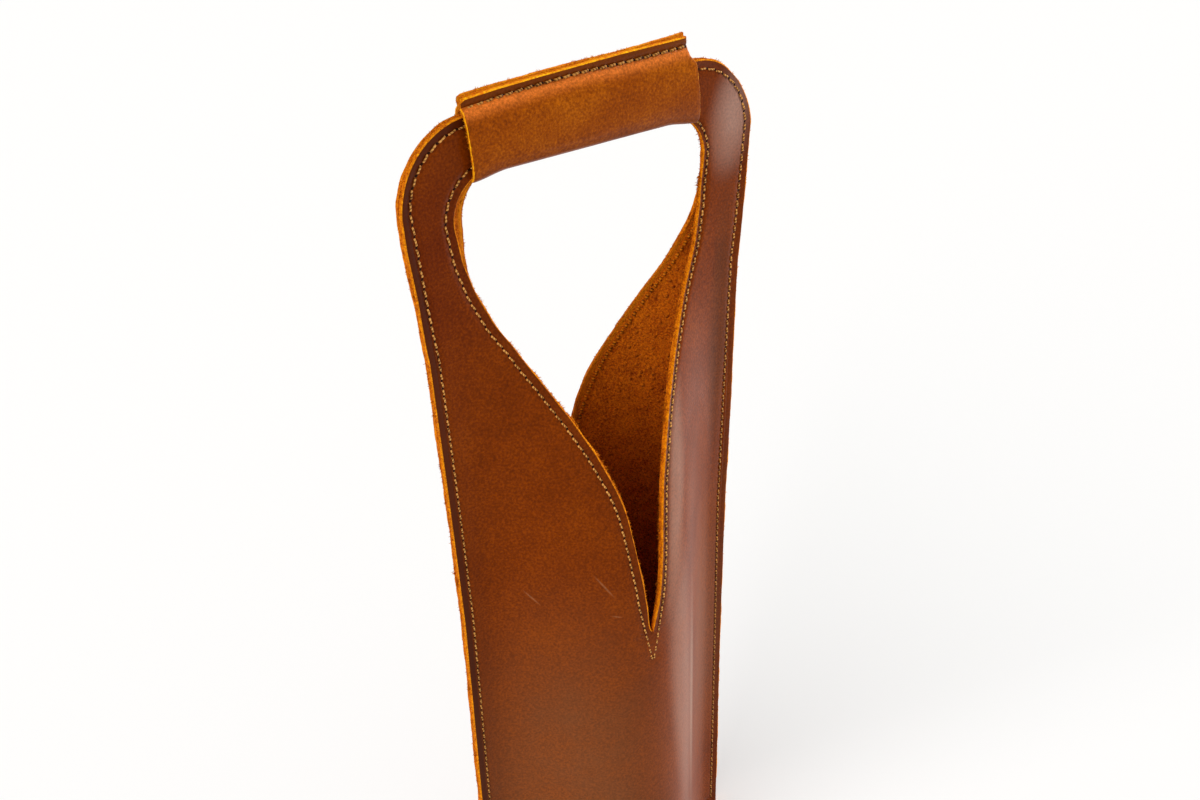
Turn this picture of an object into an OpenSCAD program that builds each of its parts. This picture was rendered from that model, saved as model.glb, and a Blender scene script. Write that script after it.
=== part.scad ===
// Leather bottle carrier: two leather panels sewn together at their side edges,
// a leather sleeve folded round the handle, and a leather base sewn in at the foot.
// Front looks along -Y, +Z is up, and the origin is in the middle of the foot.

/* [Panel outline] */
// Height of each panel, from the foot to the top edge of the head
panel_height = 415.3; // [405:0.1:450]
// Half width of the flat panel beside the bottle
body_half = 84; // [80:0.5:90]
// Half width at the neck, under the head
neck_half = 78.5; // [76:0.5:82]
// Half width of the head where its sides end
head_half = 83.6; // [81:0.1:88]
// Height at which the panel starts to narrow towards the neck
taper_height = 210; // [195:1:230]
// Distance of the neck below the top edge
neck_drop = 89.3; // [80:0.1:100]
// Radius of the two round corners of the head
head_corner = 31; // [24:0.5:34]
// Thickness of the leather
leather = 2; // [1.6:0.1:2.4]

/* [Body] */
// Depth of the room in one panel, from the seam plane to the inside of the leather
bulge = 36.5; // [32:0.5:40]
// Height up to which the front of the body is fully round
full_height = 195; // [175:1:210]
// Distance below the top edge at which the front comes to lie flat
flat_drop = 58.3; // [45:0.1:70]
// Distance below the top edge up to which the back is fully round, where the bottle leans on it
back_full_drop = 106.3; // [98:0.1:118]
// Distance below the top edge at which the back comes to lie flat
back_flat_drop = 47.3; // [44:0.1:60]
// Width of the flat seam along each side edge
seam_width = 7; // [5.5:0.5:9]

/* [Mouth] */
// Height of the lower tip of the mouth
tip_height = 186; // [175:1:205]
// Half width that the narrow slit of the mouth grows to
slit_half = 21; // [17:0.5:24]
// Height at which the slit starts to widen into the hand hole
widen_height = 239; // [230:1:250]
// Distance below the top edge at which the hand hole has its whole width
hole_drop = 47.3; // [41:0.1:55]
// Half width of the hand hole
hole_half = 60; // [57.5:0.5:62]
// Radius of the two upper corners of the hand hole
hole_corner = 9; // [6:0.5:12]
// Height of the leather strip over the hand hole
strip_height = 21; // [18:0.1:24]

/* [Handle sleeve] */
// Length of the sleeve round the handle strip
sleeve_length = 107; // [90:1:112]
// Distance of the middle of the sleeve from the middle of the carrier
sleeve_shift = -2.5; // [-4:0.5:4]
// Height of the two sewn flaps above the top of the strip
fin_height = 8.2; // [7:0.1:11]
// Distance of the handle seam from the raw edges of the flaps
fin_margin = 3.8; // [3:0.1:4.2]

/* [Base] */
// Depth of the rim that the base leather turns down inside the panels
rim_depth = 12; // [9:0.5:16]
// Height of the base seam above the foot
base_seam_height = 4.5; // [3.5:0.1:6]

/* [Thread] */
// Thickness of the sewing thread
thread = 0.6; // [0.4:0.1:0.8]
// Distance of every seam from the edge it follows
seam_inset = 4; // [3.4:0.1:4.8]

/* [Hidden] */

// Fits: play of a sewn thread on flat leather and where the leather curves towards it,
// play of the base in the panels and gap between the two flaps of the sleeve
thread_play = 0.12;
curve_play = 0.25;
base_play = 0.2;
flap_gap = 0.2;
overrun = 1;

// Shape of the swell and of its section, as plain ratios
swell_power = 1.2;
draw_in_share = 0.61;
section_fullness = 0.2;
slit_power = 0.6;
probe = leather / 100;

// Leather and thread colours of the preview
grain = "#7a3c17";
light_grain = "#9a5220";
gold = "#c9923f";

// Counts of the panel grid: rows under the tip, beside the mouth, round the corner and on
// top, and columns; and the sides of a thread
low_rows = 2;
mouth_rows = 26;
corner_rows = 8;
top_rows = 3;
column_count = 11;
row_crowding = 1.25;
seam_column_count = 2;
thread_sides = 4;

neck_height = panel_height - neck_drop;
flat_height = panel_height - flat_drop;
back_full_height = panel_height - back_full_drop;
back_flat_height = panel_height - back_flat_drop;
hole_height = panel_height - hole_drop;
hole_top = panel_height - strip_height;
head_side = panel_height - head_corner;
hole_side = hole_top - hole_corner;

function clamp01(t) = max(0, min(1, t));
function smooth(t) = let (c = clamp01(t)) c * c * (3 - 2 * c);
function unit(v) = v / norm(v);

// Swell of a panel: the height up to which it is fully round, and the height where it is flat
front_swell = [full_height, flat_height];
back_swell = [back_full_height, back_flat_height];

// Depth of the room in a panel at a height, from full over the bottle to nothing
function room(z, swell) =
    bulge * pow(sin(90 * clamp01((swell[1] - z) / (swell[1] - swell[0]))), swell_power);

// Half width of the flat panel at a height
function pattern_half(z) = z < neck_height
    ? body_half - (body_half - neck_half) * smooth((z - taper_height) / (neck_height - taper_height))
    : neck_half + (head_half - neck_half) * min(1, (z - neck_height) / (head_side - neck_height));

// Half width over the seams: the deeper the room, the more the leather draws the seams in
function seam_edge(z) =
    let (flat = pattern_half(z))
    flat - draw_in_share * pow(room(z, front_swell), 2) / (flat - seam_width);

// Distance of the inside of a panel from the seam plane
function depth(x, z, swell) =
    let (u = min(1, abs(x) / (seam_edge(z) - seam_width)))
    room(z, swell) * pow(1 - u * u, 2) * (1 + section_fullness * u * u);

// Outward direction of a panel, drawn as the front one
function facing(x, z, swell) =
    let (
        slope_x = (depth(x + probe, z, swell) - depth(x - probe, z, swell)) / (2 * probe),
        slope_z = (depth(x, z + probe, swell) - depth(x, z - probe, swell)) / (2 * probe)
    )
    unit([-slope_x, -1, -slope_z]);

// Point on a panel, a given distance out from its inside
function on_panel(x, z, out, swell) =
    [x, -depth(x, z, swell), z] + out * facing(x, z, swell);

// Half width of the mouth: a narrow slit that widens into the hand hole
function mouth_edge(z) =
    slit_half * pow(clamp01((z - tip_height) / (hole_side - tip_height)), slit_power)
    + (hole_half - slit_half) * smooth((z - widen_height) / (hole_height - widen_height));

// Stations: [point on the outer edge, point on the inner edge], from the foot to the top middle
function low_stations() = [
    for (i = [0:low_rows])
        let (z = tip_height * i / (low_rows + 1))
        [[seam_edge(z), z], [0, z]]
];
function mouth_stations() = [
    for (i = [0:mouth_rows])
        let (
            share = pow(i / mouth_rows, row_crowding),
            outer = tip_height + (head_side - tip_height) * share,
            inner = tip_height + (hole_side - tip_height) * share
        )
        [[seam_edge(outer), outer], [mouth_edge(inner), inner]]
];
function round_corner(half, top, radius, turn) =
    [half - radius + radius * cos(turn), top - radius + radius * sin(turn)];
function corner_stations() = [
    for (i = [1:corner_rows])
        let (turn = 90 * i / corner_rows)
        [
            round_corner(head_half, panel_height, head_corner, turn),
            round_corner(hole_half, hole_top, hole_corner, turn),
        ]
];
function top_stations() = [
    for (i = [1:top_rows])
        let (left = 1 - i / top_rows)
        [[(head_half - head_corner) * left, panel_height], [(hole_half - hole_corner) * left, hole_top]]
];
stations = concat(low_stations(), mouth_stations(), corner_stations(), top_stations());

// Point between the two edges of a station: the flat seam keeps its width, the rest is shared out
function across(station, column) =
    let (
        span = station[0] - station[1],
        seam = min(seam_width, norm(span) / 2),
        bend = station[0] - seam * unit(span),
        inner_count = column_count - seam_column_count
    )
    column <= inner_count
        ? station[1] + (bend - station[1]) * column / inner_count
        : bend + seam * unit(span) * (column - inner_count) / seam_column_count;

// A panel, drawn as the front one: a closed grid of two sides and two layers
module panel(swell) {
    last = len(stations) - 1;
    row_size = column_count + 1;
    layer_size = (last + 1) * row_size;
    sides = [1, -1];
    points = [
        for (side = sides, out = [0, leather], station = stations, j = [0:column_count])
            let (
                at = across(station, j),
                p = on_panel(at.x, at.y, out, swell)
            )
            [side * p.x + 0, p.y, p.z]
    ];
    function id(s, layer, i, j) = ((s * 2 + layer) * layer_size) + i * row_size + j;
    function turned(s, quad) = s == 0 ? quad : [quad[3], quad[2], quad[1], quad[0]];
    skins = [
        for (s = [0, 1], layer = [0, 1], i = [0:last - 1], j = [0:column_count - 1])
            let (
                quad = [
                    id(s, layer, i, j), id(s, layer, i, j + 1),
                    id(s, layer, i + 1, j + 1), id(s, layer, i + 1, j),
                ]
            )
            turned((s + layer) % 2, quad)
    ];
    edges = [
        for (s = [0, 1], i = [0:last - 1], j = [0, column_count])
            if (j > 0 || i > low_rows)
                let (
                    quad = [
                        id(s, 0, i, j), id(s, 0, i + 1, j),
                        id(s, 1, i + 1, j), id(s, 1, i, j),
                    ]
                )
                turned((s + (j > 0 ? 1 : 0)) % 2, quad)
    ];
    feet = [
        for (s = [0, 1], j = [0:column_count - 1])
            turned(s, [id(s, 0, 0, j), id(s, 1, 0, j), id(s, 1, 0, j + 1), id(s, 0, 0, j + 1)])
    ];
    faces = concat(skins, edges, feet);
    triangles = [for (f = faces, t = [[f[0], f[1], f[2]], [f[0], f[2], f[3]]]) t];
    polyhedron(points, triangles);
}

// Thread along a path of [place, direction away from the leather]
module run_of_thread(path) {
    last = len(path) - 1;
    points = [
        for (i = [0:last])
            let (
                along = unit(path[min(last, i + 1)][0] - path[max(0, i - 1)][0]),
                wide = unit(cross(along, path[i][1])),
                high = cross(wide, along)
            )
            for (c = [0:thread_sides - 1])
                let (turn = 360 * c / thread_sides)
                path[i][0] + thread / 2 * (wide * cos(turn) + high * sin(turn))
    ];
    function id(i, c) = i * thread_sides + c % thread_sides;
    sides = [
        for (i = [0:last - 1], c = [0:thread_sides - 1])
            let (a = id(i, c), b = id(i, c + 1), d = id(i + 1, c), e = id(i + 1, c + 1))
            for (t = [[a, b, e], [a, e, d]]) t
    ];
    ends = [
        [for (c = [thread_sides - 1:-1:0]) id(0, c)],
        [for (c = [0:thread_sides - 1]) id(last, c)],
    ];
    polyhedron(points, concat(sides, ends));
}

// A path on a panel from [x, z] places; out is the side of the leather it lies on
function thread_path(places, out, swell) = [
    for (at = places)
        [on_panel(at.x, at.y, out, swell), facing(at.x, at.y, swell)]
];
function mirrored(places) = [for (i = [len(places) - 1:-1:0]) [-places[i].x, places[i].y]];
outside = leather + thread / 2 + thread_play;
inside = -thread / 2 - curve_play;
foot_outside = leather + thread / 2 + curve_play;

// Outer seam, from the foot up one side, over the head and down the other
side_rows = 22;
outer_half = concat(
    [
        for (i = [0:side_rows - 1])
            let (z = base_seam_height + (head_side - base_seam_height) * i / side_rows)
            [seam_edge(z) - seam_inset, z]
    ],
    [
        for (i = [0:corner_rows])
            round_corner(
                head_half - seam_inset, panel_height - seam_inset,
                head_corner - seam_inset, 90 * i / corner_rows
            )
    ]
);
outer_places = concat(outer_half, mirrored(outer_half));

module outer_seam_run(swell) {
    run_of_thread(thread_path(outer_places, outside, swell));
}

// Mouth seam, beside the mouth's edge, meeting in a point under its tip
seam_rows = 20;
tip_run = seam_inset * 3;
function mouth_seam(z, swell) =
    let (
        edge = on_panel(mouth_edge(z), z, 0, swell),
        up = unit(on_panel(mouth_edge(z + probe), z + probe, 0, swell) - edge),
        away = cross(facing(mouth_edge(z), z, swell), up),
        at = edge - seam_inset * away
    )
    [at.x, at.z];
function mouth_half_places(top, swell) = concat(
    [[thread, tip_height - tip_run]],
    [
        for (i = [0:seam_rows])
            mouth_seam(tip_height + tip_run + (top - tip_height - tip_run) * i / seam_rows, swell)
    ]
);
over_hole = [
    for (i = [0:corner_rows])
        round_corner(
            hole_half + seam_inset, hole_top + seam_inset,
            hole_corner + seam_inset, 90 * i / corner_rows
        )
];
module mouth_needle_run(swell) {
    half = concat(mouth_half_places(hole_side - tip_run, swell), over_hole);
    run_of_thread(thread_path(concat(half, mirrored(half)), outside, swell));
}

// Inside the carrier the mouth seam shows only up to the height where the panels lie together
module mouth_bobbin_run(swell, top) {
    half = mouth_half_places(top, swell);
    run_of_thread(thread_path(concat(mirrored(half), half), inside, swell));
}
front_apart_height = neck_height + tip_run / 2;
back_apart_height = neck_height + tip_run * 3 / 2;

// Handle sleeve: one strip of leather, folded under the handle strip and sewn over it.
// It hangs on the rounded ends of the strip, where the hand hole's corners begin.
sleeve_inside = leather + thread + 2 * thread_play;
sleeve_outside = sleeve_inside + leather;
sleeve_reach = sleeve_length / 2 + abs(sleeve_shift);
corner_reach = max(0, sleeve_reach - (hole_half - hole_corner));
strip_end = hole_side + sqrt(pow(hole_corner, 2) - pow(corner_reach, 2));
fold_height = strip_end + sqrt(pow(sleeve_inside, 2) - pow(leather + thread_play, 2));
fin_top = panel_height + fin_height;
flap_half = flap_gap / 2;
join_height = panel_height + sleeve_inside - flap_half;
shoulder = leather * tan(22.5);

module sleeve_outline(half, shoulder_height, flap, top) {
    translate([0, fold_height]) circle(r = half, $fn = 48);
    translate([-half, fold_height]) square([2 * half, shoulder_height - fold_height]);
    polygon([
        [-half, shoulder_height], [half, shoulder_height],
        [flap, shoulder_height + half - flap], [flap, top],
        [-flap, top], [-flap, shoulder_height + half - flap],
    ]);
}

module handle_sleeve() {
    color(light_grain)
    translate([sleeve_shift - sleeve_length / 2, 0, 0])
    rotate([90, 0, 90])
    linear_extrude(sleeve_length)
    difference() {
        sleeve_outline(sleeve_outside, panel_height + shoulder, leather + flap_half, fin_top);
        sleeve_outline(sleeve_inside, panel_height, flap_half, fin_top + overrun);
    }
}

// Base: a lens of leather with its rim turned down and sewn inside the foot of the panels
base_points = 22;
rim_share = 0.88;
rim_inside_share = 0.85;
base_half = seam_edge(0) - seam_width;

function base_side(inset, half) = [
    for (i = [0:base_points])
        let (
            x = half * (2 * i / base_points - 1),
            near = depth(x - probe, 0, front_swell),
            steep = (depth(x + probe, 0, front_swell) - near) / (2 * probe),
            rim = depth(x, 0, front_swell) - inset * sqrt(1 + steep * steep)
        )
        [x, max(flap_half, rim)]
];
module base_outline(inset, half) {
    back = base_side(inset, half);
    polygon(concat(back, [for (i = [base_points:-1:0]) [back[i].x, -back[i].y]]));
}

module base_leather() {
    color(grain)
    difference() {
        linear_extrude(rim_depth) base_outline(base_play, base_half * rim_share);
        translate([0, 0, -overrun])
            linear_extrude(rim_depth - leather + overrun)
                base_outline(base_play + leather, base_half * rim_inside_share);
    }
}

// Base seam: one run along the foot of each panel, and one inside the rim
base_run = 16;
base_outer_half = seam_edge(0) - seam_inset - 2 * thread;
base_inner_half = base_half * rim_inside_share * rim_share;
function base_places(half) = [
    for (i = [0:base_run]) [half * (2 * i / base_run - 1), base_seam_height]
];

module base_needle_run() {
    run_of_thread(thread_path(base_places(base_outer_half), foot_outside, front_swell));
}
module base_bobbin_run() {
    rim_inside = inside - base_play - leather;
    run_of_thread(thread_path(base_places(base_inner_half), rim_inside, front_swell));
}

module to_back() {
    mirror([0, 1, 0]) children();
}

module front_panel() { color(grain) panel(front_swell); }
module back_panel() { color(grain) to_back() panel(back_swell); }

module outer_seam_needle_thread() { color(gold) outer_seam_run(front_swell); }
module outer_seam_bobbin_thread() { color(gold) to_back() outer_seam_run(back_swell); }

module front_mouth_needle_thread() { color(gold) mouth_needle_run(front_swell); }
module front_mouth_bobbin_thread() {
    color(gold) mouth_bobbin_run(front_swell, front_apart_height);
}
module back_mouth_needle_thread() { color(gold) to_back() mouth_needle_run(back_swell); }
module back_mouth_bobbin_thread() {
    color(gold) to_back() mouth_bobbin_run(back_swell, back_apart_height);
}

module handle_seam_run() {
    translate([
        sleeve_shift - sleeve_length / 2 + thread,
        -flap_half - leather - thread / 2 - thread_play,
        fin_top - fin_margin,
    ])
    rotate([0, 90, 0])
    cylinder(h = sleeve_length - 2 * thread, d = thread, $fn = 16);
}
module handle_seam_needle_thread() { color(gold) handle_seam_run(); }
module handle_seam_bobbin_thread() { color(gold) to_back() handle_seam_run(); }

module base_seam_needle_thread() {
    color(gold) {
        base_needle_run();
        to_back() base_needle_run();
    }
}
module base_seam_bobbin_thread() {
    color(gold) {
        base_bobbin_run();
        to_back() base_bobbin_run();
    }
}

front_panel();
back_panel();
handle_sleeve();
base_leather();
outer_seam_needle_thread();
outer_seam_bobbin_thread();
front_mouth_needle_thread();
front_mouth_bobbin_thread();
back_mouth_needle_thread();
back_mouth_bobbin_thread();
handle_seam_needle_thread();
handle_seam_bobbin_thread();
base_seam_needle_thread();
base_seam_bobbin_thread();
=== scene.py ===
# %% [markdown]
# # A leather bottle carrier
# The real carrier is cut from waxed leather 2 mm thick: two panels sewn together round a bottle, a sleeve
# folded round the handle, and a sewn-in base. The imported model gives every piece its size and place. This
# lesson makes the leather itself over it: sheets with rounded raw edges, suede inside, and seams of
# separate stitches, one by one.

import math
from collections import namedtuple

import bpy
import numpy as np
from mathutils import Matrix, Vector


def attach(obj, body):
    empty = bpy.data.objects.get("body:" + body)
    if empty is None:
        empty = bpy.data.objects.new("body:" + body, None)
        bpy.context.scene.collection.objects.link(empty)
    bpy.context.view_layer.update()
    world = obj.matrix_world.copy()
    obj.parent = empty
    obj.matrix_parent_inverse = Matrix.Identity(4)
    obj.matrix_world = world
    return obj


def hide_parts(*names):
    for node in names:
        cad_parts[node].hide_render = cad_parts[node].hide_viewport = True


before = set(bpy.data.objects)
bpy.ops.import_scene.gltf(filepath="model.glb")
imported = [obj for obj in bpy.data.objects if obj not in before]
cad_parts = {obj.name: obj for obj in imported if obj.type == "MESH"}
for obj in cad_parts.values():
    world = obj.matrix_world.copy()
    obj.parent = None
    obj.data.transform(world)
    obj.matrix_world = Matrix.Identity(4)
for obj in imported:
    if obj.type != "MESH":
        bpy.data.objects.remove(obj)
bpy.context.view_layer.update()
MM = 0.001


# %% [markdown]
# ## The camera
# The photograph was taken from the left front and from above, close to the handle, with a slightly short
# lens. Its place was worked out from the edges of the carrier, so the camera is set by numbers: turned 37
# degrees to the left of the front, tilted down 29 degrees, and rolled by less than 2.

# %% Camera
turn, drop, lean = (math.radians(angle) for angle in (-37.16, 29.16, -1.61))
lens = bpy.data.cameras.new("camera")
lens.sensor_width = 36.0
lens.lens = 38.62
camera = bpy.data.objects.new("camera", lens)
camera.matrix_world = (
    Matrix.Translation((-0.2850, -0.3785, 0.5457))
    @ Matrix.Rotation(turn, 4, "Z")
    @ Matrix.Rotation(math.pi / 2 - drop, 4, "X")
    @ Matrix.Rotation(lean, 4, "Z")
)
bpy.context.scene.collection.objects.link(camera)
bpy.context.scene.camera = camera
print("camera at", [round(c, 3) for c in camera.location])

# %% [markdown]
# ## The pattern of a panel
# A bag maker starts with a flat pattern. Ours is straight beside the bottle, narrows to a neck and widens
# to the head. It could be drawn as a curve by hand, but as functions of the height it is exact, and every
# piece that touches it can ask for it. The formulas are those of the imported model, with a few sizes
# measured once more.

# %% Pattern sizes in millimetres
# Heights are from the foot, and half widths from the middle line
PANEL_HEIGHT, BODY_HALF, NECK_HALF, HEAD_HALF = 415.3, 84.0, 78.5, 83.6
TAPER_HEIGHT, NECK_HEIGHT, HEAD_CORNER = 210.0, 326.0, 31.0
LEATHER, BULGE, SEAM_WIDTH, DRAW_IN = 2.0, 36.5, 7.0, 0.61
TIP_HEIGHT, SLIT_HALF, WIDEN_HEIGHT = 182.0, 21.0, 239.0
HOLE_HEIGHT, HOLE_HALF, HOLE_CORNER, HOLE_TOP = 368.0, 60.8, 18.0, 394.3
HEAD_SIDE, HOLE_SIDE = PANEL_HEIGHT - HEAD_CORNER, HOLE_TOP - HOLE_CORNER
SEAM_INSET, FOOT_INSET, TIP_RUN = 3.7, 4.5, 16.0
print("corners of head and hole start at heights", round(HEAD_SIDE, 1), round(HOLE_SIDE, 1))

# %% [markdown]
# Both panels come from one pattern, but they were cut, sewn and bent by hand, so each has settings of its
# own. A pair of values is for its left and its right side.

# %% Two panels cut by hand
# full and flat are the heights up to which a panel is fully round and from which it lies flat. shift moves
# its undulation, and stray is how far its slit's tip stands off the middle line. insets say how far in each
# side of the mouth is sewn, inner_top up to where that seam lies free inside, and lips how far the knife
# kept inside the pattern of the mouth at the heights LIP_AT. tuft_size scales the loose fibres on the
# mouth's edge, and mirror is -1 for the panel at the back.
Panel = namedtuple("Panel", "full flat shift stray insets inner_top tuft_size mirror lips")
LIP_AT = np.array([190, 211, 229, 247, 262, 277, 291, 306, 321, 336, 352, 364, 376.0])
FRONT = Panel(
    full=195.0, flat=357.0, shift=0.0, stray=-1.6, insets=(SEAM_INSET, 2.4),
    inner_top=332, tuft_size=1.2, mirror=1,
    lips=(
        (0.2, 1.1, 1.3, 1.3, 1.4, 2.1, 2.8, 3.2, 3.0, 1.4, 0.2, -0.9, -1.8),
        (2.4, 2.7, 2.7, 1.8, 1.2, 1.2, 0.9, 0.9, 1.5, 1.5, 3.0, 4.2, 3.6),
    ),
)
BACK = Panel(
    full=309.0, flat=368.0, shift=2.0, stray=0.0, insets=(SEAM_INSET, SEAM_INSET),
    inner_top=344, tuft_size=0.75, mirror=-1,
    lips=((0, 0, 0, 0.5, 1.2, 1.8, 1.8, 1.8, 1.8, 1.8, 1.6, 1.8, 2.4),) * 2,
)
print("the front is round to", FRONT.full, "mm and the back to", BACK.full, "mm")

# %% [markdown]
# The deeper the room for the bottle, the more the leather draws its side seams in. That is why the outline
# and the depth are worked out together here.

# %% The pattern as functions of height


def smooth(t):
    """0 below 0, 1 above 1, and 3 t squared minus 2 t cubed between."""
    t = np.clip(t, 0, 1)
    return t * t * (3 - 2 * t)


def room(z, panel):
    """Depth of the room: a quarter wave of the height, to the power 1.2, gone where the panel lies flat."""
    return BULGE * np.sin(np.pi / 2 * np.clip((panel.flat - z) / (panel.flat - panel.full), 0, 1)) ** 1.2


def pattern_half(z):
    """Half width of the flat pattern: a smooth step down to the neck, then a straight line to the head."""
    body = BODY_HALF - (BODY_HALF - NECK_HALF) * smooth((z - TAPER_HEIGHT) / (NECK_HEIGHT - TAPER_HEIGHT))
    head = NECK_HALF + (HEAD_HALF - NECK_HALF) * np.clip((z - NECK_HEIGHT) / (HEAD_SIDE - NECK_HEIGHT), 0, 1)
    return np.where(z < NECK_HEIGHT, body, head)


def seam_edge(z):
    """Half width over the seams: the pattern's, less a part of the room squared over the bulging width."""
    return pattern_half(z) - DRAW_IN * room(z, FRONT) ** 2 / (pattern_half(z) - SEAM_WIDTH)


def depth(x, z, panel):
    """Depth of the panel's inside: the room times (1 - u squared) squared times (1 + 0.2 u squared)."""
    u = np.minimum(1, np.abs(x) / (seam_edge(z) - SEAM_WIDTH))
    return room(z, panel) * (1 - u * u) ** 2 * (1 + 0.2 * u * u)


def mouth_edge(z, panel, side):
    """Half width of the mouth on one side: a slit growing with the height to the power 0.6, plus a smooth
    step to the hole, less what the knife kept inside it, eased between the measured heights."""
    rise = np.clip((z - TIP_HEIGHT) / (HOLE_SIDE - TIP_HEIGHT), 0, 1)
    widening = smooth((z - WIDEN_HEIGHT) / (HOLE_HEIGHT - WIDEN_HEIGHT))
    half = SLIT_HALF * rise**0.6 + (HOLE_HALF - SLIT_HALF) * widening
    kept, low = np.array(panel.lips[side > 0]), np.clip(np.searchsorted(LIP_AT, z) - 1, 0, len(LIP_AT) - 2)
    share = smooth((z - LIP_AT[low]) / (LIP_AT[low + 1] - LIP_AT[low]))
    return half - np.minimum(kept[low] + (kept[low + 1] - kept[low]) * share, 0.7 * half)


def hole_half(panel, side):
    """Half width of the hand hole on one side, at its upper corner."""
    return HOLE_HALF - panel.lips[side > 0][-1]


def drift(z, panel):
    """How far the slit strays: fully from its tip to 16 mm below, and not at all 14 mm above or 50
    below."""
    gone = np.where(z > TIP_HEIGHT, (z - TIP_HEIGHT) / 14, (TIP_HEIGHT - TIP_RUN - z) / 34)
    return panel.stray * (1 - smooth(gone))


print("half widths at the foot, neck and head", seam_edge(np.array([0.0, NECK_HEIGHT, HEAD_SIDE])).round(1))

# %% [markdown]
# Leather isn't a machined face. Where it is free between its seams, it undulates by a few tenths of a
# millimetre. A panel is always worked out as the front one, and the back is mirrored at the end.

# %% Surface of a panel
TINY = 0.05


def unit(v):
    """Vectors divided by their lengths."""
    return v / np.maximum(np.linalg.norm(v, axis=-1, keepdims=True), 1e-12)


def swollen(x, z, panel):
    """Depth with its undulation: three slow waves, scaled by the depth, still at the foot and the seams."""
    deep, shift = depth(x, z, panel), panel.shift
    waves = np.sin(x / 17 + z / 41 + shift) + 0.7 * np.sin(x / 11 - z / 29 + 2)
    waves = waves + 0.6 * np.sin(z / 23 + x / 37 + shift)
    return deep + 0.28 * deep / BULGE * smooth((z - 14) / 30) * waves


def surface(x, z, panel):
    """Point on the suede side and the direction out of it, from slopes over a tiny step to each side."""
    slope_x = (swollen(x + TINY, z, panel) - swollen(x - TINY, z, panel)) / (2 * TINY)
    slope_z = (swollen(x, z + TINY, panel) - swollen(x, z - TINY, panel)) / (2 * TINY)
    out = unit(np.stack([-slope_x, -np.ones_like(x), -slope_z], -1))
    return np.stack([x, -swollen(x, z, panel), z], -1), out


print("depth in the middle at a height of 150 mm", round(float(swollen(0.0, 150.0, FRONT)), 1))

# %% [markdown]
# ## Where the seams run
# The outer seam goes up one side, over the head under the sleeve, and down the other. The mouth's seam
# starts in a point under the slit and goes once round the hole. All stand in by 3.7 mm, apart from the
# foot's and from the right lip of the front, where the maker came within 2.4 mm of the edge.

# %% Seam paths on a panel, as (x, z)


def arc(half, top, radius, steps=24):
    """Quarter circle that rounds the corner at (half, top)."""
    angle = np.linspace(0, np.pi / 2, steps)
    return np.stack([half - radius + radius * np.cos(angle), top - radius + radius * np.sin(angle)], -1)


def run_length(path):
    """Length along a path at each of its points."""
    return np.concatenate([[0], np.cumsum(np.linalg.norm(np.diff(path, axis=0), axis=1))])


def read_at(s, length, values):
    """Rows of values, read off at lengths s between the points of a path."""
    return np.stack([np.interp(s, length, column) for column in values.T], -1)


def dense(path, step=0.5):
    """The same path with a point every step, by length along it."""
    length = run_length(path)
    return read_at(np.linspace(0, length[-1], int(length[-1] / step) + 1), length, path)


def mouth_side(panel, side):
    """From the point under the slit up one side: set in from the edge, square to it in the surface."""
    z = np.linspace(TIP_HEIGHT + TIP_RUN, HOLE_SIDE - 8, 200)
    low, out = surface(side * mouth_edge(z, panel, side), z, panel)
    high, _ = surface(side * mouth_edge(z + TINY, panel, side), z + TINY, panel)
    at = low - side * panel.insets[side > 0] * np.cross(out, unit(high - low))
    line = np.concatenate([[[0.3 * side, TIP_HEIGHT - TIP_RUN]], at[:, [0, 2]]])
    return line + np.stack([drift(line[:, 1], panel), 0 * line[:, 1]], -1)


def mouth_seam(panel):
    """The whole seam of the mouth: up the right side, over the hole and down the left."""
    halves = []
    for side in (1, -1):
        inset = panel.insets[side > 0]
        corner = arc(hole_half(panel, side) + inset, HOLE_TOP + inset, HOLE_CORNER + inset) * [side, 1]
        halves.append(np.concatenate([mouth_side(panel, side), corner]))
    return dense(np.concatenate([halves[0], halves[1][::-1]]))


seam_z = np.linspace(FOOT_INSET, HEAD_SIDE, 300)
right_seam = np.concatenate([
    np.stack([seam_edge(seam_z) - SEAM_INSET, seam_z], -1),
    arc(HEAD_HALF - SEAM_INSET, PANEL_HEIGHT - SEAM_INSET, HEAD_CORNER - SEAM_INSET),
])
OUTER_SEAM = dense(np.concatenate([right_seam, right_seam[::-1] * [-1, 1]]))
BASE_SEAM = np.stack([np.linspace(-67, 67, 269), np.full(269, FOOT_INSET)], -1)
print("seam lengths in mm", round(run_length(OUTER_SEAM)[-1]), round(run_length(mouth_seam(FRONT))[-1]))

# %% [markdown]
# ## One way to make every piece of leather
# A cut piece of leather is a slab with a grain face, a suede face and a raw edge. A flat sheet with a
# thickness modifier would have sharp edges, so each piece here is a grid: its rows run along the piece, and
# each row is one loop round its section. The loop crosses the grain face, turns over the rounded raw edge,
# comes back over the suede face and closes over the other edge. The columns crowd near the edges, where the
# roundings and the seams are. The first and last rows round off the two ends in the same way.

# %% Loop of columns round a section
NEAR_EDGE = np.array([0.5, 0.75, 1.1, 1.6, 2.2, 2.8, 3.3, 3.7, 4.0, 4.3, 4.7, 5.2, 6.0, 7.0])
EDGE_ROUND = np.array([
    [0.24, 0.96], [0.07, 0.87], [0, 0.74], [0, 0.52], [0, 0.3], [0.03, 0.12], [0.12, 0.02],
])
TURN = len(EDGE_ROUND)
END_GAP, END_SQUEEZE = np.array([0, 0, 0.07, 0.24]), np.array([0, 0.48, 0.74, 0.92])
GRAIN, RAW, SUEDE = 0, 1, 2


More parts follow.
